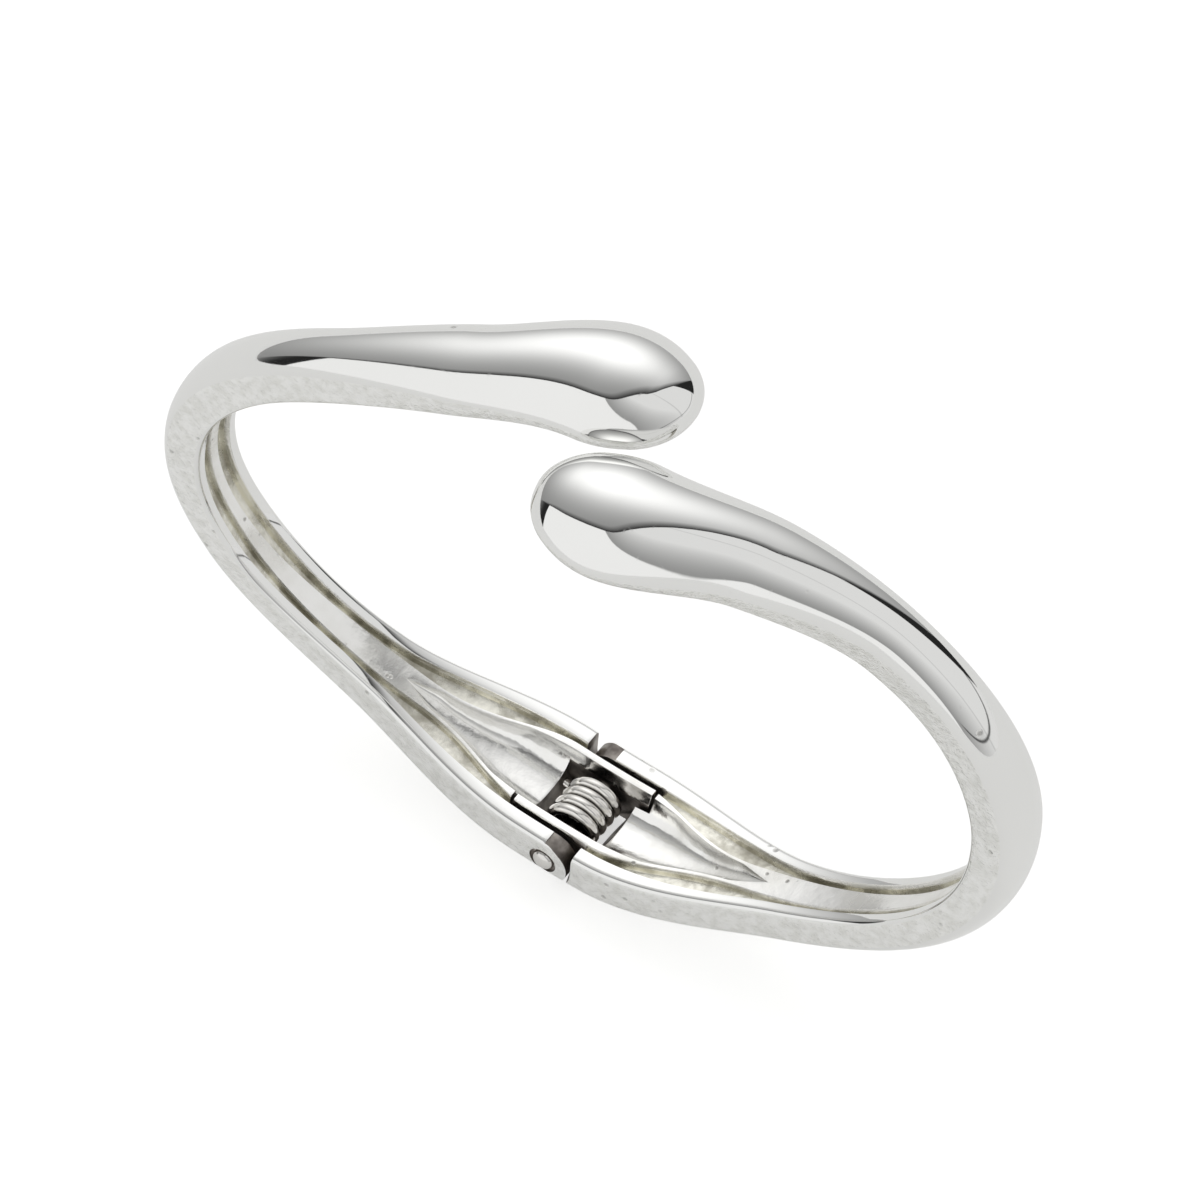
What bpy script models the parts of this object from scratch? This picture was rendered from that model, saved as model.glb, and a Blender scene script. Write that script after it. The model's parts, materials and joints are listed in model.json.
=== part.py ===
"""Hinged bypass bangle: two cast halves on a pin, closed by a torsion spring.

Frame: X across the wrist, Y along the wrist and the hinge pin, Z up. The bangle
stands on its hinge, with the origin under the middle of the hinge. The two halves
are one casting used twice, the second turned half a turn about Z.
"""
import math

import bmesh
import bpy

# ---- driving dimensions, in metres ----
INNER_HALF_LENGTH = 0.0290      # half of the opening across the wrist
INNER_HALF_HEIGHT = 0.0190      # half of the opening from hinge to drops
OVAL_POWER = 2.12               # 2 is an ellipse, more is squarer
HINGE_THICKNESS = 0.0041        # rim to underside, over the pin
PIN_HEIGHT = 0.0021             # pin axis above the underside
HINGE_HALF_WIDTH = 0.0048

DROP_AT = 0.485                 # drop centre, as a share of the whole way round
DROP_LEAN = 0.13                # how far the round end leans to its own side
TONGUE_AT = -0.022              # where the casting starts, past the pin
HINGE_LAND = 0.012              # straight, flat-sided stretch on each side of the pin

DOME_POWER = 1.18               # how peaked the dome is across: 1 is an ellipse
DROP_DOME_POWER = 1.54
RIM = 0.0010                    # wall left on each side of the hollow back
HOLLOW_DEPTH = 0.0009
LEAF_END = 0.138                # pointed end of the leaf-shaped hollow
LEAF_HALF_WIDTH = 0.0026
LEAF_DEPTH = 0.0019

OUTER_EAR_INNER_FACE = 0.0035   # the outer ear lies from here out to the side
INNER_EAR_OUTER_FACE = 0.0032
INNER_EAR_INNER_FACE = 0.0023
EAR_GAP = OUTER_EAR_INNER_FACE - INNER_EAR_OUTER_FACE
EAR_RADIUS = 0.0019
TONGUE_REACH = 0.0036
TONGUE_TIP_DROP = 0.0012        # height of the tongue's tip below the rim
WELL_RADIUS = 0.00275

PIN_RADIUS = 0.00055
PIN_HOLE_RADIUS = 0.00065
HEAD_RADIUS = 0.00080
HEAD_HEIGHT = 0.00050
HEAD_SEAT_RADIUS = 0.00105
HEAD_SEAT_DEPTH = 0.00035

WIRE_RADIUS = 0.00042
COIL_RADIUS = 0.00155
COIL_TURNS = 4
COIL_HALF_LENGTH = 0.00174
LEG_END = (-0.0041, -0.00085)   # leg's end beside the pin, along X and Z
LEG_HOLE_RADIUS = 0.00060

# Stations along a half, from the pin to the drop's centre: share of the way, width,
# side wall height, thickness, and how far the half stands to its own side.
STATIONS = (
    (0.00, 0.0096, 0.0029, 0.0041, 0.0000),
    (0.16, 0.0051, 0.0025, 0.0035, -0.0007),
    (0.35, 0.0048, 0.0021, 0.0034, -0.0019),
    (0.56, 0.0046, 0.0025, 0.0035, -0.0028),
    (0.78, 0.0044, 0.0026, 0.0041, -0.0021),
    (0.90, 0.0070, 0.0028, 0.0050, 0.0005),
    (1.00, 0.0098, 0.0029, 0.0060, 0.0042),
)
WIDTH, WALL, THICKNESS, OFFSET = 1, 2, 3, 4

HALF_SECTIONS = 40
TIP_SECTIONS = 7
DOME_STEPS = 12
WALL_STEPS = 4
HOLLOW_STEPS = 6


# ---- helpers ----
def clear_scene():
    for item in list(bpy.data.objects):
        bpy.data.objects.remove(item, do_unlink=True)


def new_collection(name):
    collection = bpy.data.collections.new(name)
    bpy.context.scene.collection.children.link(collection)
    return collection


def metal(name, colour, roughness):
    material = bpy.data.materials.new(name)
    material.use_nodes = True
    shader = material.node_tree.nodes["Principled BSDF"]
    shader.inputs["Base Color"].default_value = (*colour, 1.0)
    shader.inputs["Metallic"].default_value = 1.0
    shader.inputs["Roughness"].default_value = roughness
    return material


def smoothstep(low, high, value):
    share = min(max((value - low) / (high - low), 0.0), 1.0)
    return share * share * (3.0 - 2.0 * share)


def station_slope(index, column):
    """Slope of one column at one station. The ends are level, but for the drop's lean."""
    if 0 < index < len(STATIONS) - 1:
        before, after = STATIONS[index - 1], STATIONS[index + 1]
        return (after[column] - before[column]) / (after[0] - before[0])
    if index and column == OFFSET:
        return DROP_LEAN * INNER_HALF_LENGTH * math.tau * (DROP_AT - HINGE_LAND)
    return 0.0


def along(share, column):
    """One column of the stations, as a smooth curve through them."""
    share = min(max(share, 0.0), 1.0)
    index = max(i for i in range(len(STATIONS) - 1) if STATIONS[i][0] <= share)
    start, end = STATIONS[index], STATIONS[index + 1]
    span = end[0] - start[0]
    t = (share - start[0]) / span
    return (
        start[column] * (2 * t**3 - 3 * t**2 + 1)
        + station_slope(index, column) * span * (t**3 - 2 * t**2 + t)
        + end[column] * (3 * t**2 - 2 * t**3)
        + station_slope(index + 1, column) * span * (t**3 - t**2)
    )


# ---- the cast half ----
def oval(turn):
    """Point and outward normal on the opening's edge, in X and Z from the pin."""
    angle = -math.pi / 2 - turn * math.tau
    cosine, sine = math.cos(angle), math.sin(angle)
    x = INNER_HALF_LENGTH * math.copysign(abs(cosine) ** (2 / OVAL_POWER), cosine)
    z = INNER_HALF_HEIGHT * math.copysign(abs(sine) ** (2 / OVAL_POWER), sine)
    normal_x = math.copysign(abs(x / INNER_HALF_LENGTH) ** (OVAL_POWER - 1), x) / INNER_HALF_LENGTH
    normal_z = math.copysign(abs(z / INNER_HALF_HEIGHT) ** (OVAL_POWER - 1), z) / INNER_HALF_HEIGHT
    length = math.hypot(normal_x, normal_z)
    centre_z = HINGE_THICKNESS - PIN_HEIGHT + INNER_HALF_HEIGHT
    return (x, z + centre_z), (normal_x / length, normal_z / length)


def hollow(share, width):
    """Half width and depth of the hollow back: a leaf by the hinge, then a channel."""
    if share < LEAF_END:
        part = max(share, 0.0) / LEAF_END
        half_width = LEAF_HALF_WIDTH * (1 - part**1.5) + 0.0001
        depth = LEAF_DEPTH * (1 - part) + 0.0004
        return half_width, depth
    opened = smoothstep(LEAF_END, LEAF_END + 0.06, share) * (1 - smoothstep(0.80, 0.90, share))
    half_width = (width / 2 - RIM) * opened + 0.0001 * (1 - opened)
    return half_width, HOLLOW_DEPTH * opened + 0.0002 * (1 - opened)


def section(share):
    """Outline of the half across its length, as (across, outward) points."""
    width = along(share, WIDTH)
    wall = along(share, WALL)
    thickness = along(share, THICKNESS)
    belly = smoothstep(0.74, 1.0, share)
    dome_power = DOME_POWER + (DROP_DOME_POWER - DOME_POWER) * smoothstep(0.70, 1.0, share)
    points = []
    for step in range(DOME_STEPS + 1):
        angle = math.pi * step / DOME_STEPS
        rise = max(math.sin(angle), 0.0) ** dome_power
        points.append((-width / 2 * math.cos(angle), wall + (thickness - wall) * rise))
    half_width, depth = hollow(share, width)
    wall_side = []
    for step in range(1, WALL_STEPS + 1):
        angle = math.pi / 2 * step / WALL_STEPS
        pull = belly * (1 - math.cos(angle))
        wall_side.append((width / 2 - (width / 2 - half_width) * pull, wall * (1 - math.sin(angle))))
    points += wall_side
    for step in range(HOLLOW_STEPS + 1):
        angle = math.pi * step / HOLLOW_STEPS
        across = math.copysign(abs(math.cos(angle)) ** 0.7, math.cos(angle))
        points.append((half_width * across, depth * math.sin(angle) ** 0.7 if 0 < step < HOLLOW_STEPS else 0.0))
    points += [(-across, outward) for across, outward in reversed(wall_side)]
    return points


def place(points, turn, share, scale, lean=0.0):
    """Put an outline on the oval, shrunk towards its middle by scale and moved by lean."""
    (x, z), (normal_x, normal_z) = oval(turn)
    middle = along(share, THICKNESS) / 2
    offset = along(share, OFFSET) + lean
    placed = []
    for across, outward in points:
        reach = middle + (outward - middle) * scale
        placed.append((x + normal_x * reach, offset + across * scale, z + normal_z * reach))
    return placed


def half_mesh():
    """The whole half, lofted from past the pin to the drop's round end."""
    rings = []
    for step in range(HALF_SECTIONS + 1):
        turn = TONGUE_AT + (DROP_AT - TONGUE_AT) * step / HALF_SECTIONS
        share = max(turn - HINGE_LAND, 0.0) / (DROP_AT - HINGE_LAND)
        rings.append(place(section(share), turn, share, 1.0))
    drop_width = STATIONS[-1][WIDTH]
    quarter_turn = drop_width / 2 / (math.tau * INNER_HALF_LENGTH)
    for step in range(1, TIP_SECTIONS + 1):
        angle = 0.96 * math.pi / 2 * step / TIP_SECTIONS
        turn = DROP_AT + quarter_turn * math.sin(angle)
        lean = DROP_LEAN * drop_width / 2 * math.sin(angle)
        rings.append(place(section(1.0), turn, 1.0, math.cos(angle), lean))
    count = len(rings[0])
    vertices = [point for ring in rings for point in ring]
    faces = [tuple(range(count))]
    for ring in range(len(rings) - 1):
        for i in range(count):
            j = (i + 1) % count
            faces.append((ring * count + j, ring * count + i,
                          (ring + 1) * count + i, (ring + 1) * count + j))
    last = (len(rings) - 1) * count
    faces.append(tuple(last + i for i in reversed(range(count))))
    mesh = bpy.data.meshes.new("half")
    mesh.from_pydata(vertices, [], faces)
    return mesh


# ---- cutters for the hinge end ----
FAR = 0.0070                    # well past the casting on every side
PAST_WALL = HINGE_HALF_WIDTH + 0.001


def arc(radius, start, end, steps=12):
    """Points on an arc about the pin, with angles in degrees from +X towards +Z."""
    points = []
    for step in range(steps + 1):
        angle = math.radians(start + (end - start) * step / steps)
        points.append((radius * math.cos(angle), radius * math.sin(angle)))
    return points


def tangent_angle(radius, point):
    """Angle, in degrees below +X, where a line from point touches a circle's underside."""
    distance = math.hypot(*point)
    return math.degrees(math.atan2(point[1], point[0]) - math.acos(radius / distance))


def prism(name, outline, low_y, high_y, collection):
    """A flat outline in X and Z, drawn out along Y."""
    curve = bpy.data.curves.new(name, "CURVE")
    curve.dimensions = "2D"
    curve.fill_mode = "BOTH"
    curve.extrude = (high_y - low_y) / 2
    spline = curve.splines.new("POLY")
    spline.points.add(len(outline) - 1)
    for point, (x, z) in zip(spline.points, outline):
        point.co = (x, z, 0.0, 1.0)
    spline.use_cyclic_u = True
    drawn = bpy.data.objects.new(name + "_outline", curve)
    drawn.rotation_euler.x = math.pi / 2
    drawn.location = (0.0, (low_y + high_y) / 2, PIN_HEIGHT)
    collection.objects.link(drawn)
    return as_solid(drawn, name, collection)


def as_solid(drawn, name, collection):
    """The mesh of a curve object, with its caps welded, in place of the curve."""
    bpy.context.view_layer.update()
    evaluated = drawn.evaluated_get(bpy.context.evaluated_depsgraph_get())
    mesh = bpy.data.meshes.new_from_object(evaluated)
    mesh.name = name
    solid = bpy.data.objects.new(name, mesh)
    solid.matrix_world = drawn.matrix_world.copy()
    collection.objects.link(solid)
    bpy.data.objects.remove(drawn, do_unlink=True)
    work = bmesh.new()
    work.from_mesh(mesh)
    bmesh.ops.remove_doubles(work, verts=work.verts, dist=1e-7)
    bmesh.ops.recalc_face_normals(work, faces=work.faces)
    work.to_mesh(mesh)
    work.free()
    return as_cutter(solid)


def as_cutter(item):
    item.hide_render = True
    item.display_type = "WIRE"
    return item


def rod(name, radius, low_y, high_y, collection):
    """A round cutter on the pin's axis."""
    bpy.ops.mesh.primitive_cylinder_add(
        vertices=24, radius=radius, depth=high_y - low_y,
        location=(0.0, (low_y + high_y) / 2, PIN_HEIGHT), rotation=(math.pi / 2, 0.0, 0.0))
    item = bpy.context.object
    item.name = name
    move_to(item, collection)
    return as_cutter(item)


def move_to(item, collection):
    for old in list(item.users_collection):
        old.objects.unlink(item)
    collection.objects.link(item)


def tongue_outline():
    """Everything past the pin that the inner ear's tongue leaves free."""
    tip = (TONGUE_REACH, HINGE_THICKNESS - PIN_HEIGHT - TONGUE_TIP_DROP)
    touch = tangent_angle(EAR_RADIUS, tip)
    return arc(EAR_RADIUS, -90.0, touch, 5) + [tip, (TONGUE_REACH, FAR), (FAR, FAR), (FAR, -FAR), (0.0, -FAR)]


def slot_outline():
    """Room for the other half's tongue, on this half's side of the pin."""
    tip = (TONGUE_REACH + EAR_GAP, HINGE_THICKNESS - PIN_HEIGHT - TONGUE_TIP_DROP - EAR_GAP)
    radius = EAR_RADIUS + EAR_GAP
    touch = tangent_angle(radius, tip)
    return [(-tip[0], FAR), (-tip[0], tip[1])] + arc(radius, 180.0 - touch, 360.0) + [(radius, FAR)]


def make_hinge_cutters(collection):
    """Everything that is cut from one half at its hinge end."""
    wall = EAR_RADIUS + EAR_GAP
    beyond_ear = arc(EAR_RADIUS, -90.0, 90.0) + [(0.0, FAR), (FAR, FAR), (FAR, -FAR), (0.0, -FAR)]
    well = [(-WELL_RADIUS, FAR)] + arc(WELL_RADIUS, 180.0, 270.0, 8) + [(FAR, -WELL_RADIUS), (FAR, FAR)]
    far_wall = [(-wall, FAR)] + arc(wall, 180.0, 270.0, 6) + [(FAR, -wall), (FAR, FAR)]
    outer_ear = -OUTER_EAR_INNER_FACE
    prism("beyond_outer_ear", beyond_ear, -PAST_WALL, 0.0, collection)
    prism("tongue_slot", slot_outline(), outer_ear, EAR_GAP - INNER_EAR_INNER_FACE, collection)
    prism("spring_well", well, -INNER_EAR_INNER_FACE, INNER_EAR_INNER_FACE, collection)
    prism("beyond_tongue", tongue_outline(), INNER_EAR_INNER_FACE - EAR_GAP, PAST_WALL, collection)
    prism("far_wall_end", far_wall, INNER_EAR_OUTER_FACE, PAST_WALL, collection)
    rod("pin_hole", PIN_HOLE_RADIUS, -PAST_WALL, PAST_WALL, collection)
    rod("head_seat", HEAD_SEAT_RADIUS, -PAST_WALL, HEAD_SEAT_DEPTH - HINGE_HALF_WIDTH, collection)
    leg_hole(collection)


def leg_line():
    """Where the left leg leaves the coil's underside, and where it ends, beside the pin."""
    mirrored = (-LEG_END[0], LEG_END[1])
    touch = math.radians(180.0 - tangent_angle(COIL_RADIUS, mirrored))
    start = (COIL_RADIUS * math.cos(touch), COIL_RADIUS * math.sin(touch))
    return touch, start


def leg_hole(collection):
    """A blind hole in the floor's end that holds the spring's leg."""
    start = leg_line()[1]
    run = (LEG_END[0] - start[0], LEG_END[1] - start[1])
    length = math.hypot(*run)
    depth = length + EAR_GAP
    middle = (start[0] + run[0] / length * depth / 2, start[1] + run[1] / length * depth / 2)
    tilt = math.atan2(run[0], run[1])
    bpy.ops.mesh.primitive_cylinder_add(
        vertices=16, radius=LEG_HOLE_RADIUS, depth=depth,
        location=(middle[0], COIL_HALF_LENGTH, middle[1] + PIN_HEIGHT), rotation=(0.0, tilt, 0.0))
    item = bpy.context.object
    item.name = "leg_hole"
    move_to(item, collection)
    return as_cutter(item)


# ---- the parts ----
def make_halves(parts, cutters, material):
    """The left half, and the same casting half a turn round Z as the right half."""
    mesh = half_mesh()
    mesh.materials.append(material)
    left = bpy.data.objects.new("left_arm", mesh)
    left.location.z = PIN_HEIGHT
    parts.objects.link(left)
    make_hinge_cutters(cutters)
    cut = left.modifiers.new("hinge_end", "BOOLEAN")
    cut.operation = "DIFFERENCE"
    cut.solver = "EXACT"
    cut.operand_type = "COLLECTION"
    cut.collection = cutters
    bpy.context.view_layer.update()
    evaluated = left.evaluated_get(bpy.context.evaluated_depsgraph_get())
    casting = bpy.data.meshes.new_from_object(evaluated)
    casting.name = "casting"
    casting.shade_smooth()
    casting.set_sharp_from_angle(angle=math.radians(35.0))
    left.modifiers.clear()
    left.data = casting
    right = bpy.data.objects.new("right_arm", casting.copy())
    right.location.z = PIN_HEIGHT
    right.rotation_euler.z = math.pi
    parts.objects.link(right)
    bpy.data.meshes.remove(mesh)


def make_pin(parts, material):
    """A rivet along Y: its domed head on the near side, its peened end on the far side."""
    seat = HINGE_HALF_WIDTH - HEAD_SEAT_DEPTH + 0.00003
    profile = [(0.0, seat + HEAD_HEIGHT)]
    for step in range(1, 5):
        angle = math.pi / 2 * step / 4
        profile.append((HEAD_RADIUS * math.sin(angle), seat + HEAD_HEIGHT * (0.35 + 0.65 * math.cos(angle))))
    profile += [(HEAD_RADIUS, seat), (PIN_RADIUS, seat), (PIN_RADIUS, -seat), (HEAD_RADIUS, -seat)]
    profile += [(HEAD_RADIUS * 0.9, -seat - HEAD_HEIGHT * 0.4), (0.0, -seat - HEAD_HEIGHT * 0.6)]
    mesh = bpy.data.meshes.new("hinge_pin")
    edges = [(i, i + 1) for i in range(len(profile) - 1)]
    mesh.from_pydata([(radius, 0.0, height) for radius, height in profile], edges, [])
    mesh.materials.append(material)
    pin = bpy.data.objects.new("hinge_pin", mesh)
    pin.location.z = PIN_HEIGHT
    pin.rotation_euler.x = math.pi / 2
    parts.objects.link(pin)
    screw = pin.modifiers.new("turned", "SCREW")
    screw.steps = screw.render_steps = 24
    screw.use_merge_vertices = True
    screw.merge_threshold = 1e-6
    screw.use_smooth_shade = True


def make_spring(parts, material):
    """The torsion spring: a close coil on the pin with a leg into each half's floor."""
    touch, _ = leg_line()
    sweep = (3 * math.pi - 2 * touch) % math.tau + COIL_TURNS * math.tau
    steps = 15 * COIL_TURNS
    points = [(LEG_END[0], COIL_HALF_LENGTH, LEG_END[1])]
    for step in range(steps + 1):
        angle = touch + sweep * step / steps
        y = COIL_HALF_LENGTH * (1 - 2 * step / steps)
        points.append((COIL_RADIUS * math.cos(angle), y, COIL_RADIUS * math.sin(angle)))
    points.append((-LEG_END[0], -COIL_HALF_LENGTH, LEG_END[1]))
    curve = bpy.data.curves.new("hinge_spring", "CURVE")
    curve.dimensions = "3D"
    curve.bevel_depth = WIRE_RADIUS
    curve.bevel_resolution = 2
    curve.use_fill_caps = True
    spline = curve.splines.new("POLY")
    spline.points.add(len(points) - 1)
    for point, place_at in zip(spline.points, points):
        point.co = (*place_at, 1.0)
    spline.use_smooth = True
    curve.materials.append(material)
    spring = bpy.data.objects.new("hinge_spring", curve)
    spring.location.z = PIN_HEIGHT
    parts.objects.link(spring)


def main():
    clear_scene()
    parts = new_collection("bangle_bracelet")
    cutters = new_collection("cutters")
    plated = metal("bright_plating", (0.90, 0.90, 0.89), 0.08)
    steel = metal("spring_steel", (0.66, 0.64, 0.61), 0.25)
    make_halves(parts, cutters, plated)
    make_pin(parts, metal("pin_steel", (0.80, 0.79, 0.77), 0.18))
    make_spring(parts, steel)


main()
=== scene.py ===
"""Looks of the sprung bypass bangle: the two cast halves, the rivet and the spring."""
import json
import math

import bpy
from mathutils import Matrix, Vector

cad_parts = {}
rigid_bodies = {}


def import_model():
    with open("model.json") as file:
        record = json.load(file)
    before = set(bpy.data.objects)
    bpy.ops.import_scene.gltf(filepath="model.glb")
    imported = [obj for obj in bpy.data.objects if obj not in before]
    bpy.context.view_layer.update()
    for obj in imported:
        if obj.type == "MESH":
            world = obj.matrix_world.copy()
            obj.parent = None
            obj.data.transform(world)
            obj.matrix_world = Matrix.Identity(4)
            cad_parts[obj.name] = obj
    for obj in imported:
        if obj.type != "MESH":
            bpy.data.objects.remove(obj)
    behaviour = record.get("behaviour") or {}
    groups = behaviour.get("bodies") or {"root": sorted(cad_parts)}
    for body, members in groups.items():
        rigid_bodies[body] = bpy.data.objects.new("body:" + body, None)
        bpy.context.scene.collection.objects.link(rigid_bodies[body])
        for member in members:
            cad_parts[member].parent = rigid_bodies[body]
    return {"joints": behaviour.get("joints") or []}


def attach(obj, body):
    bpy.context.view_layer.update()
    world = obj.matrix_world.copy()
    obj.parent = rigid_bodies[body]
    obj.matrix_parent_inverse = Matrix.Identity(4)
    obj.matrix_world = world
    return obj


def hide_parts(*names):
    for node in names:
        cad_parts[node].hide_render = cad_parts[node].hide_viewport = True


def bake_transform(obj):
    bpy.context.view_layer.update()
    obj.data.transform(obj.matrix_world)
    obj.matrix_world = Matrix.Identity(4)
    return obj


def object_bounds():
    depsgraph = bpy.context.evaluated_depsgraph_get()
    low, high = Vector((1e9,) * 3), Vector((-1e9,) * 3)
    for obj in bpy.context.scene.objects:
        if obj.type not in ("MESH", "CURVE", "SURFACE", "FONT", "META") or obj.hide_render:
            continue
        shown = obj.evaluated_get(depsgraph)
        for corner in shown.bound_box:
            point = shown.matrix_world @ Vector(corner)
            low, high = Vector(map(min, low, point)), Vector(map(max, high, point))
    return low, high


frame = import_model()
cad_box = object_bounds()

bpy.ops.object.select_all(action="DESELECT")

# ---- places from the frame, in metres ----
PIN = Vector(frame["joints"][0]["pos_m"])
FLOOR_HEIGHT = cad_box[0].z

# ---- sizes of the casting, in metres ----
INNER_HALF_LENGTH = 0.0290
INNER_HALF_HEIGHT = 0.0190
OVAL_POWER = 2.12
HINGE_THICKNESS = 0.0041
HINGE_HALF_WIDTH = 0.0048
OVAL_MIDDLE = HINGE_THICKNESS + INNER_HALF_HEIGHT

DROP_AT = 0.485
DROP_LEAN = 0.13
TONGUE_AT = -0.022
HINGE_LAND = 0.012

# Stations along a half, from the pin to the drop's centre: share of the way, width,
# side wall height, thickness, and how far the half stands to its own side.
STATIONS = (
    (0.00, 0.0096, 0.0029, 0.0041, 0.0000),
    (0.16, 0.0051, 0.0025, 0.0035, -0.0007),
    (0.35, 0.0048, 0.0021, 0.0034, -0.0019),
    (0.56, 0.0046, 0.0025, 0.0035, -0.0028),
    (0.78, 0.0044, 0.0026, 0.0041, -0.0021),
    (0.90, 0.0070, 0.0028, 0.0050, 0.0005),
    (1.00, 0.0098, 0.0029, 0.0060, 0.0042),
)
WIDTH, WALL, THICKNESS, OFFSET = 1, 2, 3, 4

DOME_POWER = 1.18          # how peaked the dome is across: 1 is an ellipse
DROP_DOME_POWER = 1.54

LEAF_END = 0.138
LEAF_HALF_WIDTH = 0.0026
LEAF_DEPTH = 0.0021
LEAF_CLOSED = 0.00002       # half width that is left past the leaf's point
RIM_AT_HINGE = 0.0013
RIM = 0.00100
GROOVE_AT_HINGE = 0.0003
LAND_BY_LEAF = 0.00110
LAND_ALONG_ARM = 0.00045
LEAST_LAND = 0.0003
GROOVE_DEPTH = 0.0008
LAND_DEPTH = 0.00022
RIM_ROUND = 0.00042
INNER_EDGE_ROUND = 0.00010

OUTER_EAR_INNER_FACE = 0.0035
INNER_EAR_OUTER_FACE = 0.0032
INNER_EAR_INNER_FACE = 0.0023
EAR_GAP = OUTER_EAR_INNER_FACE - INNER_EAR_OUTER_FACE
EAR_RADIUS = 0.0019
TONGUE_REACH = 0.0036
TONGUE_TIP_DROP = 0.0012
WELL_RADIUS = 0.00275
EDGE_SOFTENING = 0.00015

PIN_RADIUS = 0.00055
PIN_HOLE_RADIUS = 0.00065
HEAD_RADIUS = 0.00080
HEAD_HEIGHT = 0.00068
HEAD_SEAT_RADIUS = 0.00105
HEAD_SEAT_DEPTH = 0.00035
HEAD_CLEARANCE = 0.00003
FAR_HEAD_SHARE = 0.6        # height of the peened end beside the domed head
HEAD_RIM_SHARE = 0.25       # straight part of a head's height
HEAD_STEPS = 8

WIRE_RADIUS = 0.00042
COIL_RADIUS = 0.00155
COIL_TURNS = 4
COIL_HALF_LENGTH = 0.00174
LEG_END = (-0.0041, -0.00085)

# ---- how finely the casting is drawn ----
BODY_RINGS = 300
TIP_RINGS = 30
DOME_STEPS = 40
WALL_STEPS = 9
ROUND_STEPS = 4
HOLLOW_STEPS = 8
TRANSITION = (1.0, 0.5, 0.0, -0.5, -1.0)
POLISHED, WALL_SKIN, CAST, GROOVE, RECESS = range(5)
INNER_FINISH_END = 0.80     # share of the rings where the cast finish and the grooves' painted shade end

DEGREES = 180 / math.pi


# ---- helpers ----
def smoothstep(low, high, value):
    share = min(max((value - low) / (high - low), 0.0), 1.0)
    return share * share * (3.0 - 2.0 * share)


def mix(a, b, share):
    return a + (b - a) * share


def named(name):
    """The object just made, under its own name."""
    item = bpy.context.object
    item.name = item.data.name = name
    return item


def only(item):
    """Make one object the selected and active one."""
    bpy.ops.object.select_all(action="DESELECT")
    item.select_set(True)
    bpy.context.view_layer.objects.active = item


def settle(item):
    """Put an object's place and turn into its mesh."""
    only(item)
    bpy.ops.object.transform_apply(location=True, rotation=True, scale=True)


def edit(select_mode="VERT"):
    bpy.ops.object.mode_set(mode="EDIT")
    bpy.ops.mesh.select_mode(type=select_mode)


def leave_edit():
    bpy.ops.object.mode_set(mode="OBJECT")


# ---- the casting's form ----
def station_slope(index, column):
    """Slope of one column at one station. The ends are level, but for the drop's lean."""
    if 0 < index < len(STATIONS) - 1:
        before, after = STATIONS[index - 1], STATIONS[index + 1]
        return (after[column] - before[column]) / (after[0] - before[0])
    if index and column == OFFSET:
        return DROP_LEAN * INNER_HALF_LENGTH * math.tau * (DROP_AT - HINGE_LAND)
    return 0.0


def along(share, column):
    """One column of the stations, as a smooth curve through them."""
    share = min(max(share, 0.0), 1.0)
    index = max(i for i in range(len(STATIONS) - 1) if STATIONS[i][0] <= share)
    start, end = STATIONS[index], STATIONS[index + 1]
    span = end[0] - start[0]
    t = (share - start[0]) / span
    return (
        start[column] * (2 * t**3 - 3 * t**2 + 1)
        + station_slope(index, column) * span * (t**3 - 2 * t**2 + t)
        + end[column] * (3 * t**2 - 2 * t**3)
        + station_slope(index + 1, column) * span * (t**3 - t**2)
    )


def oval(turn):
    """Point and outward normal on the opening's edge, in X and Z."""
    angle = -math.pi / 2 - turn * math.tau
    cosine, sine = math.cos(angle), math.sin(angle)
    x = INNER_HALF_LENGTH * math.copysign(abs(cosine) ** (2 / OVAL_POWER), cosine)
    z = INNER_HALF_HEIGHT * math.copysign(abs(sine) ** (2 / OVAL_POWER), sine)
    normal_x = math.copysign(abs(x / INNER_HALF_LENGTH) ** (OVAL_POWER - 1), x) / INNER_HALF_LENGTH
    normal_z = math.copysign(abs(z / INNER_HALF_HEIGHT) ** (OVAL_POWER - 1), z) / INNER_HALF_HEIGHT
    length = math.hypot(normal_x, normal_z)
    return (x, z + OVAL_MIDDLE), (normal_x / length, normal_z / length)


def inner_lines(share, width):
    """Across the hollow back: where the rim, groove and leaf end, and how deep each part is."""
    by_hinge = 1 - smoothstep(0.0, 0.12, share)
    opened = 1 - smoothstep(0.78, 0.88, share)
    rim_end = width / 2 - mix(RIM, RIM_AT_HINGE, by_hinge)
    land = mix(LAND_BY_LEAF, LAND_ALONG_ARM, smoothstep(0.13, 0.42, share))
    groove_end = min(mix(land, rim_end - GROOVE_AT_HINGE, by_hinge), rim_end - GROOVE_AT_HINGE)
    part = min(max(share, 0.0) / LEAF_END, 1.0)
    leaf = LEAF_HALF_WIDTH * (1 - part**1.5) + LEAF_CLOSED
    leaf_end = min(leaf, groove_end - LEAST_LAND)
    groove_depth = GROOVE_DEPTH * opened
    land_depth = LAND_DEPTH * opened * smoothstep(0.0, 0.06, share)
    leaf_depth = land_depth + LEAF_DEPTH * (1 - part) ** 0.8
    return (rim_end, groove_end, leaf_end), (groove_depth, land_depth, leaf_depth)


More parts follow.
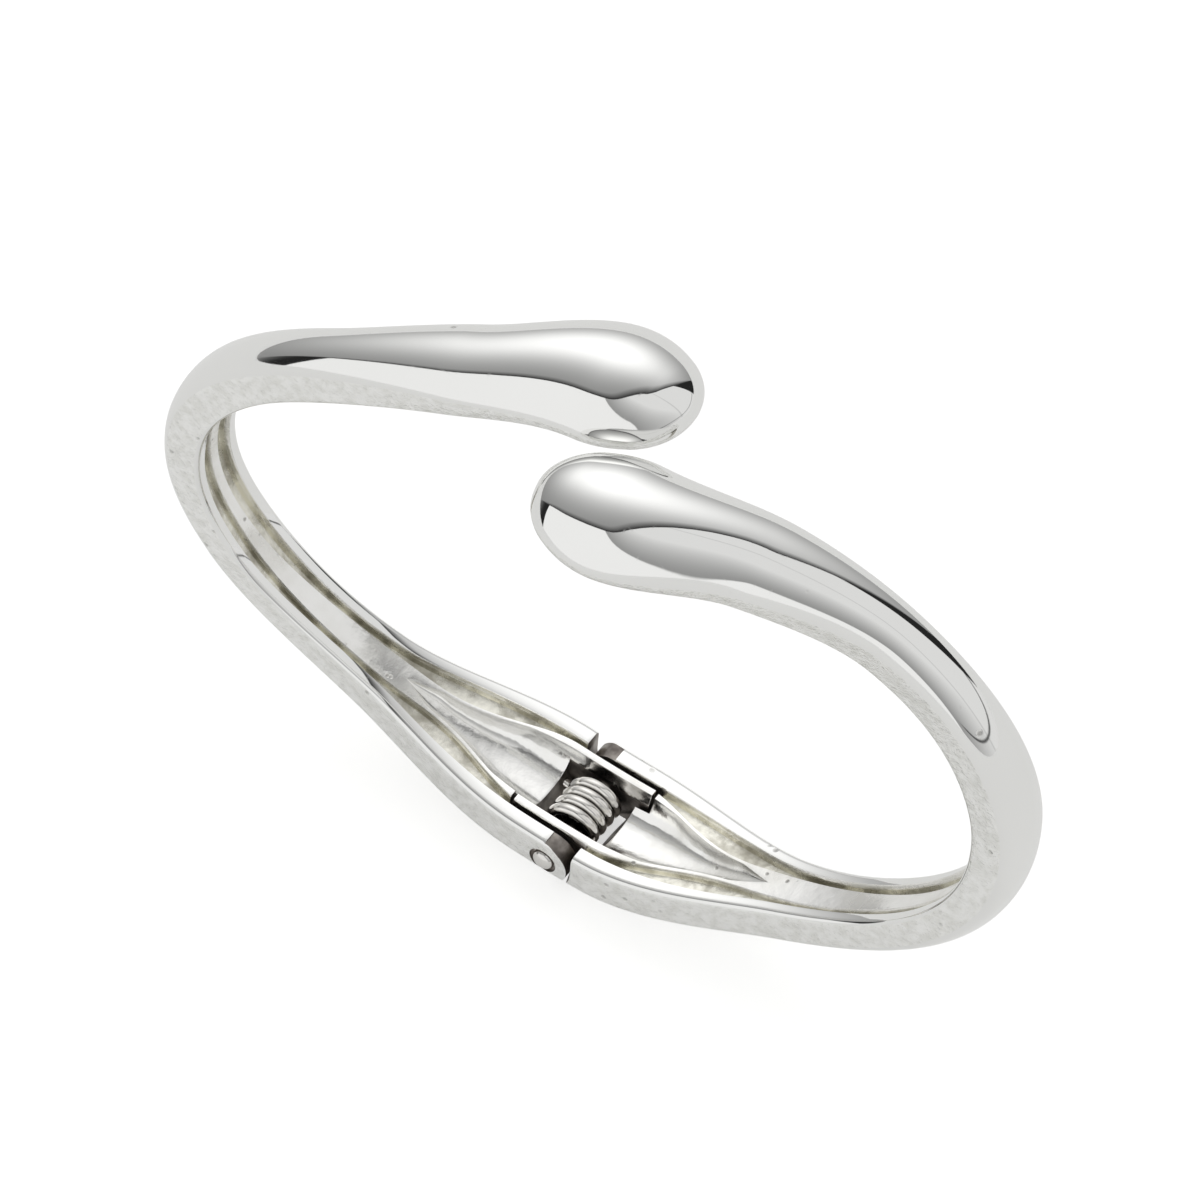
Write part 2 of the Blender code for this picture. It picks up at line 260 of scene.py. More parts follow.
def inner_points(share, width):
    """The hollow back from the rim to the middle, as (across, depth) points."""
    ends, depths = inner_lines(share, width)
    rim_end, groove_end, leaf_end = ends
    groove_depth, land_depth, leaf_depth = depths
    points = [((width / 2 - RIM_ROUND + rim_end) / 2, 0.0)]
    edges = ((rim_end, 0.0, groove_depth), (groove_end, groove_depth, land_depth))
    for middle, outer, inner in edges:
        for step in TRANSITION:
            fall = smoothstep(-1.0, 1.0, -step)
            points.append((middle + step * INNER_EDGE_ROUND, mix(outer, inner, fall)))
    for step in range(HOLLOW_STEPS + 1):
        part = math.cos(math.pi / 2 * step / HOLLOW_STEPS)
        points.append((leaf_end * part, mix(land_depth, leaf_depth, (1 - part**3) ** 0.7)))
    return points


def lower_side(share, width, wall):
    """One side of a section from the dome's edge to the middle of the back."""
    plain = []
    for step in range(1, WALL_STEPS + 1):
        plain.append((width / 2, mix(wall, RIM_ROUND, step / WALL_STEPS)))
    for step in range(1, ROUND_STEPS + 1):
        angle = math.pi / 2 * step / ROUND_STEPS
        across = width / 2 - RIM_ROUND * (1 - math.cos(angle))
        plain.append((across, RIM_ROUND * (1 - math.sin(angle))))
    plain += inner_points(share, width)
    belly = smoothstep(0.74, 1.0, share)
    points = []
    for number, (across, outward) in enumerate(plain, start=1):
        angle = math.pi / 2 * number / len(plain)
        points.append((mix(across, width / 2 * math.cos(angle), belly),
                       mix(outward, wall * (1 - math.sin(angle)), belly)))
    return points


def section(share):
    """Outline of the half across its length, as (across, outward) points."""
    width = along(share, WIDTH)
    wall = along(share, WALL)
    thickness = along(share, THICKNESS)
    dome_power = mix(DOME_POWER, DROP_DOME_POWER, smoothstep(0.70, 1.0, share))
    points = []
    for step in range(DOME_STEPS + 1):
        angle = math.pi * step / DOME_STEPS
        rise = max(math.sin(angle), 0.0) ** dome_power
        points.append((-width / 2 * math.cos(angle), wall + (thickness - wall) * rise))
    side = lower_side(share, width, wall)
    points += side
    points += [(-across, outward) for across, outward in reversed(side[:-1])]
    return points


def ring(number):
    """One ring of the casting, as points: first the body's rings, then the round end's."""
    scale, lean = 1.0, 0.0
    if number <= BODY_RINGS:
        turn = mix(TONGUE_AT, DROP_AT, number / BODY_RINGS)
    else:
        drop_width = STATIONS[-1][WIDTH]
        angle = math.pi / 2 * (number - BODY_RINGS) / TIP_RINGS
        turn = DROP_AT + drop_width / 2 / (math.tau * INNER_HALF_LENGTH) * math.sin(angle)
        scale = math.cos(angle)
        lean = DROP_LEAN * drop_width / 2 * math.sin(angle)
    share = min(max(turn - HINGE_LAND, 0.0) / (DROP_AT - HINGE_LAND), 1.0)
    (x, z), (normal_x, normal_z) = oval(turn)
    middle = along(share, THICKNESS) / 2
    offset = along(share, OFFSET) + lean
    points = []
    for across, outward in section(share):
        reach = middle + (outward - middle) * scale
        points.append((x + normal_x * reach, offset + across * scale, z + normal_z * reach))
    return points


def wrap_arm():
    """A flat grid wrapped round into the left half, closed at both ends."""
    outline = len(section(0.0))
    rings = BODY_RINGS + TIP_RINGS
    bpy.ops.mesh.primitive_grid_add(x_subdivisions=outline, y_subdivisions=rings, size=1.0)
    arm = named("left_casting")
    places = [ring(number) for number in range(rings + 1)]
    wall_columns = range(DOME_STEPS, DOME_STEPS + WALL_STEPS + 1)
    first_inner = DOME_STEPS + WALL_STEPS + ROUND_STEPS + 2
    groove_columns = range(first_inner + 2, first_inner + 7)
    middle_column = (outline + DOME_STEPS) // 2
    for face in arm.data.polygons:
        column = round((face.center.x + 0.5) * outline - 0.5)
        row = round((face.center.y + 0.5) * rings - 0.5)
        if column >= middle_column:
            column = outline + DOME_STEPS - 1 - column
        if column in wall_columns:
            face.material_index = WALL_SKIN
        elif column in groove_columns and row < INNER_FINISH_END * BODY_RINGS:
            face.material_index = GROOVE
        elif column >= first_inner and row < INNER_FINISH_END * BODY_RINGS:
            face.material_index = CAST
    for vertex in arm.data.vertices:
        column = round((vertex.co.x + 0.5) * outline) % outline
        row = round((vertex.co.y + 0.5) * rings)
        vertex.co = places[row][column]
    edit()
    bpy.ops.mesh.select_all(action="SELECT")
    bpy.ops.mesh.remove_doubles(threshold=1e-7)
    bpy.ops.mesh.select_all(action="DESELECT")
    bpy.ops.mesh.select_non_manifold()
    bpy.ops.mesh.edge_face_add()
    bpy.ops.mesh.select_all(action="SELECT")
    bpy.ops.mesh.normals_make_consistent(inside=False)
    leave_edit()
    return arm


# ---- cutters for the hinge end ----
FAR = 0.0070
PAST_WALL = HINGE_HALF_WIDTH + 0.001


def arc(radius, start, end, steps=20):
    """Points on an arc about the pin, with angles in degrees from +X towards +Z."""
    points = []
    for step in range(steps + 1):
        angle = math.radians(mix(start, end, step / steps))
        points.append((radius * math.cos(angle), radius * math.sin(angle)))
    return points


def tangent_angle(radius, point):
    """Angle, in degrees below +X, where a line from point touches a circle's underside."""
    distance = math.hypot(*point)
    return math.degrees(math.atan2(point[1], point[0]) - math.acos(radius / distance))


def block(name, outline, low_y, high_y, into):
    """A flat outline in X and Z about the pin, extruded along Y."""
    bpy.ops.mesh.primitive_circle_add(vertices=len(outline), radius=1.0, fill_type="NGON")
    item = named(name)
    for vertex, (x, z) in zip(item.data.vertices, outline):
        vertex.co = (PIN.x + x, low_y, PIN.z + z)
    edit("FACE")
    bpy.ops.mesh.select_all(action="SELECT")
    bpy.ops.mesh.extrude_region_move(TRANSFORM_OT_translate={"value": (0.0, high_y - low_y, 0.0)})
    bpy.ops.mesh.select_all(action="SELECT")
    bpy.ops.mesh.normals_make_consistent(inside=False)
    leave_edit()
    return as_cutter(item, into)


def rod(name, radius, low_y, high_y, into):
    """A round cutter on the pin's axis."""
    bpy.ops.mesh.primitive_cylinder_add(
        vertices=48, radius=radius, depth=high_y - low_y,
        location=(PIN.x, (low_y + high_y) / 2, PIN.z), rotation=(math.pi / 2, 0.0, 0.0))
    item = named(name)
    settle(item)
    return as_cutter(item, into)


def as_cutter(item, into):
    """Faces that a cutter leaves get the painted shade of the recesses."""
    for slot in (None, None, None, None, bpy.data.materials["painted_shade_recess"]):
        item.data.materials.append(slot)
    for face in item.data.polygons:
        face.material_index = RECESS
    for old in list(item.users_collection):
        old.objects.unlink(item)
    into.objects.link(item)
    return item


def cut_hinge_end(arm):
    """The ears, the slot for the other half's tongue, the spring's well and the pin's hole."""
    cutters = bpy.data.collections.new("hinge_cutters")
    bpy.context.scene.collection.children.link(cutters)
    wall = EAR_RADIUS + EAR_GAP
    corner = [(0.0, FAR), (FAR, FAR), (FAR, -FAR), (0.0, -FAR)]
    tip_height = HINGE_THICKNESS - PIN.z - TONGUE_TIP_DROP
    tip = (TONGUE_REACH, tip_height)
    tongue = arc(EAR_RADIUS, -90.0, tangent_angle(EAR_RADIUS, tip))
    tongue += [tip, (TONGUE_REACH, FAR)] + corner[1:]
    slot_tip = (TONGUE_REACH + EAR_GAP, tip_height - EAR_GAP)
    slot_touch = tangent_angle(wall, slot_tip)
    slot = [(-slot_tip[0], FAR), (-slot_tip[0], slot_tip[1])]
    slot += arc(wall, 180.0 - slot_touch, 360.0) + [(wall, FAR)]
    well = [(-WELL_RADIUS, FAR)] + arc(WELL_RADIUS, 180.0, 270.0) + [(FAR, -WELL_RADIUS), (FAR, FAR)]
    far_wall = [(-wall, FAR)] + arc(wall, 180.0, 270.0) + [(FAR, -wall), (FAR, FAR)]
    inner_face = INNER_EAR_INNER_FACE
    block("beyond_outer_ear", arc(EAR_RADIUS, -90.0, 90.0) + corner, -PAST_WALL, 0.0, cutters)
    block("tongue_slot", slot, -OUTER_EAR_INNER_FACE, EAR_GAP - inner_face, cutters)
    block("spring_well", well, -inner_face, inner_face, cutters)
    block("beyond_tongue", tongue, inner_face - EAR_GAP, PAST_WALL, cutters)
    block("far_wall_end", far_wall, INNER_EAR_OUTER_FACE, PAST_WALL, cutters)
    rod("pin_hole", PIN_HOLE_RADIUS, -PAST_WALL, PAST_WALL, cutters)
    rod("head_seat", HEAD_SEAT_RADIUS, -PAST_WALL, HEAD_SEAT_DEPTH - HINGE_HALF_WIDTH, cutters)
    only(arm)
    bpy.ops.object.modifier_add(type="BOOLEAN")
    cut = arm.modifiers[-1]
    cut.operation = "DIFFERENCE"
    cut.solver = "EXACT"
    cut.operand_type = "COLLECTION"
    cut.collection = cutters
    bpy.ops.object.modifier_apply(modifier=cut.name)
    for item in list(cutters.objects):
        bpy.data.objects.remove(item)
    bpy.data.collections.remove(cutters)


def soften_cut_edges(arm):
    """Small rounds on the sharp edges that the cutters left."""
    only(arm)
    edit("EDGE")
    bpy.ops.mesh.select_all(action="DESELECT")
    bpy.ops.mesh.edges_select_sharp(sharpness=math.radians(38.0))
    bpy.ops.mesh.bevel(offset=EDGE_SOFTENING, segments=3, profile=0.5, affect="EDGES", clamp_overlap=True)
    leave_edit()


def make_halves(materials):
    """The left half, and the same casting turned half a turn about the hinge's middle."""
    left = wrap_arm()
    for material in materials:
        left.data.materials.append(material)
    cut_hinge_end(left)
    soften_cut_edges(left)
    only(left)
    bpy.ops.object.shade_smooth_by_angle(angle=math.radians(35.0))
    bpy.ops.object.duplicate()
    right = named("right_casting")
    right.rotation_euler.z = math.pi
    settle(right)
    return left, right


# ---- the rivet ----
def make_pin(material):
    """A turned shaft whose ends are drawn out into a domed head and a peened end."""
    seat = HINGE_HALF_WIDTH - HEAD_SEAT_DEPTH + HEAD_CLEARANCE
    bpy.ops.mesh.primitive_cylinder_add(
        vertices=48, radius=PIN_RADIUS, depth=2 * seat, location=PIN, rotation=(math.pi / 2, 0.0, 0.0))
    pin = named("rivet")
    settle(pin)
    for side, height in ((-1, HEAD_HEIGHT), (1, HEAD_HEIGHT * FAR_HEAD_SHARE)):
        edit("FACE")
        bpy.ops.mesh.select_all(action="DESELECT")
        leave_edit()
        for face in pin.data.polygons:
            face.select = face.normal.y * side > 0.9
        edit("FACE")
        middle = (PIN.x, side * seat, PIN.z)
        bpy.ops.mesh.extrude_region_move()
        wide = HEAD_RADIUS / PIN_RADIUS
        bpy.ops.transform.resize(value=(wide, 1.0, wide), center_override=middle)
        straight = side * height * HEAD_RIM_SHARE
        bpy.ops.mesh.extrude_region_move(TRANSFORM_OT_translate={"value": (0.0, straight, 0.0)})
        radius, rise = 1.0, 0.0
        for step in range(1, HEAD_STEPS):
            angle = math.pi / 2 * step / HEAD_STEPS
            new_radius, new_rise = math.cos(angle), math.sin(angle)
            move = side * height * (1 - HEAD_RIM_SHARE) * (new_rise - rise)
            bpy.ops.mesh.extrude_region_move(TRANSFORM_OT_translate={"value": (0.0, move, 0.0)})
            shrink = new_radius / radius
            bpy.ops.transform.resize(value=(shrink, 1.0, shrink), center_override=middle)
            radius, rise = new_radius, new_rise
        leave_edit()
    edit("FACE")
    bpy.ops.mesh.select_all(action="SELECT")
    bpy.ops.mesh.normals_make_consistent(inside=False)
    leave_edit()
    pin.data.materials.append(material)
    bpy.ops.object.shade_smooth_by_angle(angle=math.radians(50.0))
    return pin


# ---- the spring ----
def make_spring(material):
    """Four turns of wire on the pin, with a straight leg into each half's floor."""
    mirrored = (-LEG_END[0], LEG_END[1])
    touch = math.radians(180.0 - tangent_angle(COIL_RADIUS, mirrored))
    sweep = (3 * math.pi - 2 * touch) % math.tau + COIL_TURNS * math.tau
    steps = 48 * COIL_TURNS
    points = [(LEG_END[0], COIL_HALF_LENGTH, LEG_END[1])]
    for step in range(steps + 1):
        angle = touch + sweep * step / steps
        height = COIL_HALF_LENGTH * (1 - 2 * step / steps)
        points.append((COIL_RADIUS * math.cos(angle), height, COIL_RADIUS * math.sin(angle)))
    points.append((-LEG_END[0], -COIL_HALF_LENGTH, LEG_END[1]))
    curve = bpy.data.curves.new("spring", "CURVE")
    curve.dimensions = "3D"
    curve.bevel_depth = WIRE_RADIUS
    curve.bevel_resolution = 5
    curve.use_fill_caps = True
    line = curve.splines.new("POLY")
    line.points.add(len(points) - 1)
    for point, place in zip(line.points, points):
        point.co = (*(Vector(place) + PIN), 1.0)
    spring = bpy.data.objects.new("spring", curve)
    bpy.context.scene.collection.objects.link(spring)
    only(spring)
    bpy.ops.object.convert(target="MESH")
    spring = named("spring")
    edit()
    bpy.ops.mesh.select_all(action="SELECT")
    bpy.ops.mesh.remove_doubles(threshold=1e-7)
    bpy.ops.mesh.normals_make_consistent(inside=False)
    leave_edit()
    spring.data.materials.clear()
    spring.data.materials.append(material)
    bpy.ops.object.shade_smooth_by_angle(angle=math.radians(50.0))
    return spring


# ---- shader pieces ----
class Nodes:
    """Short ways to add and join the nodes of one tree."""

    def __init__(self, tree):
        self.tree = tree

    def add(self, kind, **settings):
        node = self.tree.nodes.new(kind)
        for name, value in settings.items():
            setattr(node, name, value)
        return node

    def put(self, socket, value):
        if isinstance(value, bpy.types.NodeSocket):
            self.tree.links.new(value, socket)
        else:
            socket.default_value = value

    def calc(self, operation, *values):
        node = self.add("ShaderNodeMath", operation=operation)
        for socket, value in zip(node.inputs, values):
            self.put(socket, value)
        return node.outputs[0]

    def ramp(self, value, low, high, start=0.0, end=1.0, curve="SMOOTHSTEP"):
        node = self.add("ShaderNodeMapRange", interpolation_type=curve)
        for socket, entry in zip(node.inputs, (value, low, high, start, end)):
            self.put(socket, entry)
        return node.outputs[0]

    def blend(self, factor, first, second):
        node = self.add("ShaderNodeMix", data_type="RGBA")
        self.put(node.inputs["Factor"], factor)
        self.put(node.inputs[6], first)
        self.put(node.inputs[7], second)
        return node.outputs[2]

    def noise(self, vector, scale, detail=2.0, roughness=0.5):
        node = self.add("ShaderNodeTexNoise")
        self.put(node.inputs["Vector"], vector)
        self.put(node.inputs["Scale"], scale)
        self.put(node.inputs["Detail"], detail)
        self.put(node.inputs["Roughness"], roughness)
        return node.outputs["Fac"]


def new_group(name, inputs, outputs):
    """A shader group with float inputs and their values, and float outputs."""
    tree = bpy.data.node_groups.new(name, "ShaderNodeTree")
    tree.interface.new_socket("Vector", in_out="INPUT", socket_type="NodeSocketVector")
    for socket_name, value in inputs:
        socket = tree.interface.new_socket(socket_name, in_out="INPUT", socket_type="NodeSocketFloat")
        socket.default_value = value
    for socket_name in outputs:
        tree.interface.new_socket(socket_name, in_out="OUTPUT", socket_type="NodeSocketFloat")
    nodes = Nodes(tree)
    return tree, nodes, nodes.add("NodeGroupInput"), nodes.add("NodeGroupOutput")


def make_casting_pits():
    """Small round pits here and there, as left by gas in the casting."""
    tree, nodes, given, out = new_group("casting_pits", (("Scale", 900.0), ("Amount", 0.3)), ("Mask",))
    cells = nodes.add("ShaderNodeTexVoronoi")
    nodes.put(cells.inputs["Vector"], given.outputs["Vector"])
    nodes.put(cells.inputs["Scale"], given.outputs["Scale"])
    dot = nodes.ramp(cells.outputs["Distance"], 0.22, 0.05)
    patch = nodes.noise(given.outputs["Vector"], 150.0, 1.0)
    threshold = nodes.calc("SUBTRACT", 1.0, given.outputs["Amount"])
    chosen = nodes.ramp(patch, threshold, nodes.calc("ADD", threshold, 0.05))
    nodes.put(out.inputs["Mask"], nodes.calc("MULTIPLY", dot, chosen))
    return tree


def make_uneven_skin():
    """The soft unevenness of a cast surface, coarse and fine."""
    tree, nodes, given, out = new_group("uneven_skin", (("Scale", 400.0), ("Fineness", 0.5)), ("Height",))
    coarse = nodes.noise(given.outputs["Vector"], given.outputs["Scale"], 2.0)
    finer = nodes.calc("MULTIPLY", given.outputs["Scale"], 4.0)
    fine = nodes.noise(given.outputs["Vector"], finer, 3.0, 0.6)
    share = nodes.calc("MULTIPLY", fine, given.outputs["Fineness"])
    nodes.put(out.inputs["Height"], nodes.calc("ADD", coarse, share))
    return tree


def make_hairlines():
    """Faint hairlines from polishing and wear, in two directions."""
    tree, nodes, given, out = new_group("hairlines", (("Scale", 300.0),), ("Mask",))
    lines = []
    for turn, stretch in ((0.4, (1.0, 22.0, 1.0)), (1.9, (16.0, 1.0, 1.0))):
        mapping = nodes.add("ShaderNodeMapping")
        nodes.put(mapping.inputs["Vector"], given.outputs["Vector"])
        mapping.inputs["Rotation"].default_value = (turn, turn * 0.7, turn * 0.5)
        mapping.inputs["Scale"].default_value = stretch
        value = nodes.noise(mapping.outputs["Vector"], given.outputs["Scale"], 1.0)
        lines.append(nodes.ramp(value, 0.68, 0.74))
    nodes.put(out.inputs["Mask"], nodes.calc("MAXIMUM", *lines))
    return tree


def use_group(nodes, tree, vector, **values):
    node = nodes.add("ShaderNodeGroup", node_tree=tree)
    nodes.put(node.inputs["Vector"], vector)
    for name, value in values.items():
        nodes.put(node.inputs[name], value)
    return node.outputs[0]


def start_metal(name):
    material = bpy.data.materials.new(name)
    material.use_nodes = True
    nodes = Nodes(material.node_tree)
    shader = material.node_tree.nodes["Principled BSDF"]
    shader.inputs["Metallic"].default_value = 1.0
    place = nodes.add("ShaderNodeTexCoord").outputs["Object"]
    return material, nodes, shader, place


def bumped(nodes, shader, height, strength, distance):
    bump = nodes.add("ShaderNodeBump")
    bump.inputs["Strength"].default_value = strength
    bump.inputs["Distance"].default_value = distance
    nodes.put(bump.inputs["Height"], height)
    nodes.put(shader.inputs["Normal"], bump.outputs["Normal"])


def make_bright_plating(pits, skin, hairlines):
    """Mirror polished plating, with rare pits and faint hairlines."""
    material, nodes, shader, place = start_metal("bright_plating")
    pit = use_group(nodes, pits, place, Scale=700.0, Amount=0.36)
    hair = use_group(nodes, hairlines, place, Scale=260.0)
    cloud = nodes.noise(place, 90.0, 3.0)
    tone = nodes.blend(cloud, (0.93, 0.93, 0.92, 1.0), (0.88, 0.88, 0.865, 1.0))
    tone = nodes.blend(nodes.calc("MULTIPLY", pit, 0.6), tone, (0.35, 0.34, 0.32, 1.0))
    nodes.put(shader.inputs["Base Color"], tone)
    rough = nodes.ramp(cloud, 0.3, 0.7, 0.03, 0.06)
    rough = nodes.calc("ADD", rough, nodes.calc("MULTIPLY", hair, 0.05))
    rough = nodes.calc("ADD", rough, nodes.calc("MULTIPLY", pit, 0.25))
    nodes.put(shader.inputs["Roughness"], rough)
    uneven = use_group(nodes, skin, place, Scale=260.0, Fineness=0.15)
    height = nodes.calc("SUBTRACT", nodes.calc("MULTIPLY", uneven, 0.10), pit)
    bumped(nodes, shader, height, 1.0, 0.00004)
    return material


def make_wall_skin(pits, skin):
    """The side walls: plated as bright, over a finely dimpled and crinkled casting."""
    material, nodes, shader, place = start_metal("wall_skin")
    pit = use_group(nodes, pits, place, Scale=900.0, Amount=0.42)
    cloud = nodes.noise(place, 1300.0, 5.0, 0.65)
    dull = nodes.ramp(cloud, 0.36, 0.68)
    tone = nodes.blend(dull, (0.97, 0.97, 0.955, 1.0), (0.86, 0.86, 0.83, 1.0))
    tone = nodes.blend(nodes.calc("MULTIPLY", pit, 0.5), tone, (0.40, 0.39, 0.36, 1.0))
    nodes.put(shader.inputs["Base Color"], tone)
    nodes.put(shader.inputs["Roughness"], nodes.ramp(cloud, 0.3, 0.7, 0.07, 0.15))
    uneven = use_group(nodes, skin, place, Scale=1900.0, Fineness=0.6)
    bumped(nodes, shader, nodes.calc("SUBTRACT", uneven, pit), 1.0, 0.00009)
    return material


def make_groove_olive_and_painted_shade(skin):
    """The grooves beside the raised land: an olive tint, darkened in random patches by painted shade."""
    material, nodes, shader, place = start_metal("groove_olive_and_painted_shade")
    mottle = nodes.ramp(nodes.noise(place, 380.0, 4.0, 0.65), 0.38, 0.68)
    # Painted shade: the grooves go from pale olive to dark olive in random patches, standing in for the
    # shade in them.
    tone = nodes.blend(mottle, (0.86, 0.845, 0.77, 1.0), (0.48, 0.46, 0.39, 1.0))
    nodes.put(shader.inputs["Base Color"], tone)
    nodes.put(shader.inputs["Roughness"], nodes.ramp(mottle, 0.0, 1.0, 0.20, 0.38))
    bumped(nodes, shader, use_group(nodes, skin, place, Scale=500.0, Fineness=0.5), 0.7, 0.00006)
    return material


def make_cast_inside(pits, skin):
    """The plated but unpolished back of the casting: warmer, softer and uneven."""
    material, nodes, shader, place = start_metal("cast_inside")
    pit = use_group(nodes, pits, place, Scale=1100.0, Amount=0.45)
    mottle = nodes.ramp(nodes.noise(place, 160.0, 4.0, 0.6), 0.35, 0.75)
    tone = nodes.blend(mottle, (0.96, 0.955, 0.94, 1.0), (0.80, 0.79, 0.75, 1.0))
    tone = nodes.blend(nodes.calc("MULTIPLY", pit, 0.7), tone, (0.22, 0.21, 0.19, 1.0))
    nodes.put(shader.inputs["Base Color"], tone)
    nodes.put(shader.inputs["Roughness"], nodes.ramp(mottle, 0.0, 1.0, 0.14, 0.30))
    uneven = use_group(nodes, skin, place, Scale=350.0, Fineness=0.5)
    height = nodes.calc("SUBTRACT", uneven, nodes.calc("MULTIPLY", pit, 0.8))
    bumped(nodes, shader, height, 0.7, 0.00006)
    return material


def make_painted_shade_recess(skin):
    """The slots and the spring's well: painted shade in dark grey, darker in random patches."""
    material, nodes, shader, place = start_metal("painted_shade_recess")
    mottle = nodes.ramp(nodes.noise(place, 500.0, 4.0, 0.6), 0.3, 0.7)
    # Painted shade: the faces the cutters leave are coloured dark grey to near black, standing in for the
    # shade in the slots and the spring's well.
    tone = nodes.blend(mottle, (0.42, 0.39, 0.36, 1.0), (0.16, 0.14, 0.13, 1.0))
    nodes.put(shader.inputs["Base Color"], tone)
    nodes.put(shader.inputs["Roughness"], nodes.ramp(mottle, 0.0, 1.0, 0.28, 0.50))
    bumped(nodes, shader, use_group(nodes, skin, place, Scale=900.0, Fineness=0.5), 0.6, 0.00004)
    return material


def make_rivet_steel(hairlines):
    """Bright riveted steel with turning rings round the pin."""
    material, nodes, shader, place = start_metal("rivet_steel")
    mapping = nodes.add("ShaderNodeMapping")
    nodes.put(mapping.inputs["Vector"], place)
    mapping.inputs["Location"].default_value = -PIN
    rings = nodes.add("ShaderNodeTexWave", wave_type="RINGS", rings_direction="Y")
    nodes.put(rings.inputs["Vector"], mapping.outputs["Vector"])
    rings.inputs["Scale"].default_value = 1600.0
    rings.inputs["Distortion"].default_value = 1.0
    hair = use_group(nodes, hairlines, place, Scale=900.0)
    cloud = nodes.noise(place, 900.0, 3.0)
    tone = nodes.blend(cloud, (0.88, 0.87, 0.85, 1.0), (0.70, 0.68, 0.65, 1.0))
    nodes.put(shader.inputs["Base Color"], tone)
    rough = nodes.ramp(cloud, 0.2, 0.8, 0.10, 0.2)
    nodes.put(shader.inputs["Roughness"], nodes.calc("ADD", rough, nodes.calc("MULTIPLY", hair, 0.1)))
    bumped(nodes, shader, rings.outputs["Fac"], 0.3, 0.00001)
    return material


def make_spring_steel(skin):
    """Drawn wire: fine lines along the winding, and painted shade in dark grey on the wire's inner side,
    between the turns.
    """
    material, nodes, shader, place = start_metal("spring_steel")
    mapping = nodes.add("ShaderNodeMapping")
    nodes.put(mapping.inputs["Vector"], place)
    mapping.inputs["Location"].default_value = -PIN
    split = nodes.add("ShaderNodeSeparateXYZ")
    nodes.put(split.inputs[0], mapping.outputs["Vector"])
    x_square = nodes.calc("MULTIPLY", split.outputs["X"], split.outputs["X"])
    z_square = nodes.calc("MULTIPLY", split.outputs["Z"], split.outputs["Z"])
    radius = nodes.calc("SQRT", nodes.calc("ADD", x_square, z_square))
    across = nodes.add("ShaderNodeCombineXYZ")
    nodes.put(across.inputs["X"], radius)
    nodes.put(across.inputs["Y"], split.outputs["Y"])
    drawn = nodes.noise(across.outputs[0], 9000.0, 2.0)
    # Painted shade: the side of the wire towards the pin is coloured near black, standing in for the
    # shade between the turns.
    deep = nodes.ramp(radius, COIL_RADIUS + WIRE_RADIUS * 0.15, COIL_RADIUS + WIRE_RADIUS * 0.75)
    bright = nodes.blend(drawn, (0.96, 0.94, 0.91, 1.0), (0.80, 0.78, 0.75, 1.0))
    nodes.put(shader.inputs["Base Color"], nodes.blend(deep, (0.16, 0.15, 0.14, 1.0), bright))
    nodes.put(shader.inputs["Roughness"], nodes.ramp(drawn, 0.3, 0.7, 0.10, 0.20))
    uneven = use_group(nodes, skin, place, Scale=1500.0, Fineness=0.5)
    bumped(nodes, shader, nodes.calc("ADD", drawn, nodes.calc("MULTIPLY", uneven, 0.3)), 0.25, 0.00002)
    return material


# ---- the studio ----
FLOOR_RADIUS = 2.5
FLOOR_GAP = 0.0001
FLOOR_GLOW_SEEN = 0.55
FLOOR_GLOW_MIRRORED = 0.18


def make_floor():
    """A plain pale floor. Seen straight on it is near white, and the metal mirrors it greyer."""
    bpy.ops.mesh.primitive_circle_add(
        vertices=96, radius=FLOOR_RADIUS, fill_type="NGON", location=(0.0, 0.0, FLOOR_HEIGHT - FLOOR_GAP))
    floor = named("pale_floor")
    material = bpy.data.materials.new("pale_floor")
    material.use_nodes = True
    nodes = Nodes(material.node_tree)
    shader = material.node_tree.nodes["Principled BSDF"]
    shader.inputs["Base Color"].default_value = (0.80, 0.80, 0.79, 1.0)
    shader.inputs["Roughness"].default_value = 0.9
    shader.inputs["Emission Color"].default_value = (1.0, 1.0, 1.0, 1.0)
    seen = nodes.add("ShaderNodeLightPath").outputs["Is Camera Ray"]
    glow = nodes.ramp(seen, 0.0, 1.0, FLOOR_GLOW_MIRRORED, FLOOR_GLOW_SEEN, "LINEAR")
    nodes.put(shader.inputs["Emission Strength"], glow)
    floor.data.materials.append(material)


# The lamp panel is laid out on a flat map of the sky, with x / z and y / z across it. Its two
# straight edges meet in a rounded corner, and each edge has a direction that points inwards.
PANEL_CORNER = (0.145, -0.61)
PANEL_RIGHT_EDGE = (-0.960, 0.281)
PANEL_FRONT_EDGE = (-0.184, 0.983)
PANEL_CORNER_ROUND = 0.22
PANEL_SHADED_RIM = 0.15
HOT_TURN, HOT_RISE = math.radians(-145.0), math.radians(45.0)
HOT_SPREAD = 34.0
HOT_GLOW, PANEL_GLOW = 1.08, 0.17

# Turns round from the front towards +X and rises above the floor are in degrees from here.
FRONT_SHEET_GLOW = 0.90
RIGHT_SHEET_TURN, RIGHT_SHEET_BULGE = 47.0, 0.0145
SHEET_SEAM_TURN = 98.0
LEFT_GAP_TURN, LEFT_GAP_SLANT = -52.0, 0.70
RIGHT_GAP_TURN, RIGHT_GAP_WIDTH, RIGHT_GAP_SLANT = 147.0, 30.0, 0.62
LOW_LINE_RISE = 5.0
BLACK = 0.02
BACKDROP_SEEN = 0.95


def direction(turn, rise):
    """Unit vector at an angle round from the front towards +X, and an angle up."""
    return (math.cos(rise) * math.sin(turn), -math.cos(rise) * math.cos(turn), math.sin(rise))


def over(nodes, mask, above, below):
    """One light over another, where the mask is 1."""
    shown = nodes.calc("MULTIPLY", mask, above)
    left = nodes.calc("SUBTRACT", 1.0, mask)
    return nodes.calc("ADD", shown, nodes.calc("MULTIPLY", left, below))


def weighted(nodes, first, second, weights):
    """Sum of two values, each times its weight."""
    return nodes.calc(
        "ADD", nodes.calc("MULTIPLY", first, weights[0]), nodes.calc("MULTIPLY", second, weights[1]))


